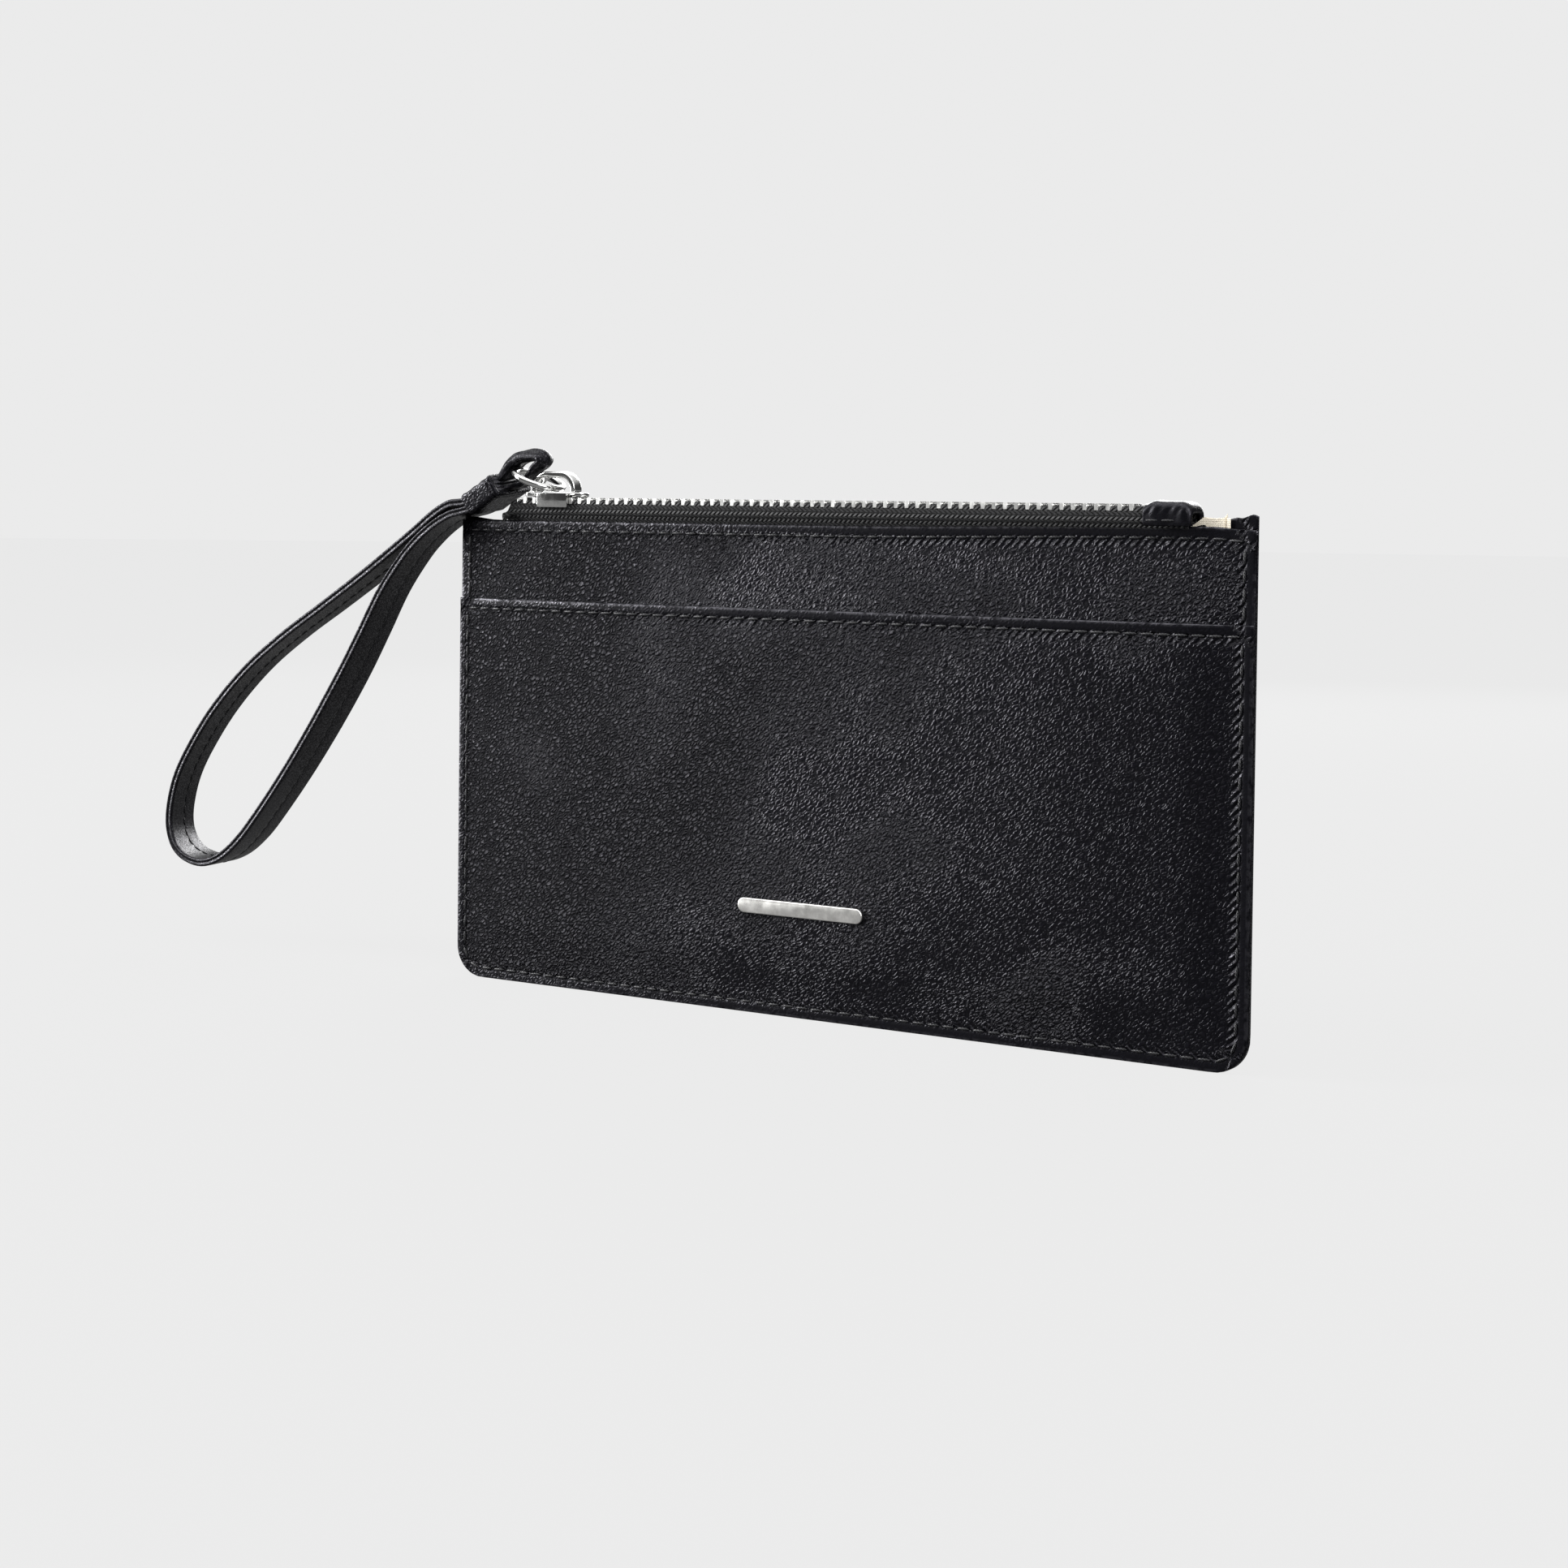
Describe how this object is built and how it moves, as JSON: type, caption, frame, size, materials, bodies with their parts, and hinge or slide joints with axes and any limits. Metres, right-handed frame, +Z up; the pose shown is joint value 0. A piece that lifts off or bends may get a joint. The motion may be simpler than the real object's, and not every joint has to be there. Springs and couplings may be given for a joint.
{
  "type": "wristlet wallet",
  "caption": "Flat zip pouch in black leather with a front slip pocket, stacked card slots behind, and a wrist strap on the zip slider's ring.",
  "frame": {"origin": "middle of the pouch's bottom edge, in the zip's centre plane", "axes": "+X to the right seen from the front, the front with the slip pocket faces -Y, +Z up"},
  "size_m": [0.2859, 0.0136, 0.12],
  "materials": {
    "leather": "fine pebbled grain, semi-gloss",
    "strap_leather": "smooth, semi-gloss",
    "lining": "plain weave, matt",
    "zip_tape": "twill weave, matt",
    "thread": "twisted, slightly shiny",
    "zip_metal": "polished",
    "chrome": "mirror polished",
    "badge_metal": "polished"
  },
  "bodies": {
    "pouch": {"front_panel": "leather", "back_panel": "leather", "seam_core": "leather", "front_lining": "lining", "back_lining": "lining", "pocket_panel": "leather", "pocket_lining": "lining", "slot_lining": "lining", "card_slot_1": "leather", "card_slot_2": "leather", "card_slot_3": "leather", "card_slot_4": "leather", "zip_tape_front": "zip_tape", "zip_tape_back": "zip_tape", "zip_teeth_front": "zip_metal", "zip_teeth_back": "zip_metal", "zip_top_stops": "zip_metal", "zip_bottom_stop": "zip_metal", "zip_end_tab": "leather", "end_tab_stitch": "thread", "top_stitch_front": "thread", "top_stitch_back": "thread", "pocket_stitch": "thread", "side_stitch_front": "thread", "side_stitch_back": "thread", "slot_stitch": "thread", "badge_bar": "badge_metal", "badge_washers": "badge_metal"},
    "slider": {"slider_body": "chrome", "slider_bail": "chrome"},
    "ring": {"pull_ring": "chrome"},
    "strap": {"strap_eye": "strap_leather", "strap_outer_ply": "strap_leather", "strap_inner_ply": "strap_leather", "strap_keeper": "strap_leather", "strap_stitch": "thread"}
  },
  "joints": [
    {"name": "slider_slide", "type": "slide", "parent": "pouch", "child": "slider", "axis": [1, 0, 0], "range_m": [-0.003, 0.1365], "deforming": ["strap_eye", "strap_outer_ply", "strap_inner_ply", "strap_keeper", "strap_stitch"]},
    {"name": "ring_swing", "type": "hinge", "parent": "slider", "child": "ring", "pos_m": [-0.0709, 0, 0.11135], "axis": [0, 1, 0], "range_deg": [0, 60]},
    {"name": "strap_turn", "type": "hinge", "parent": "ring", "child": "strap", "pos_m": [-0.07616, 0, 0.11327], "axis": [0.342, 0, 0.9397], "range_deg": [-25, 25]}
  ]
}
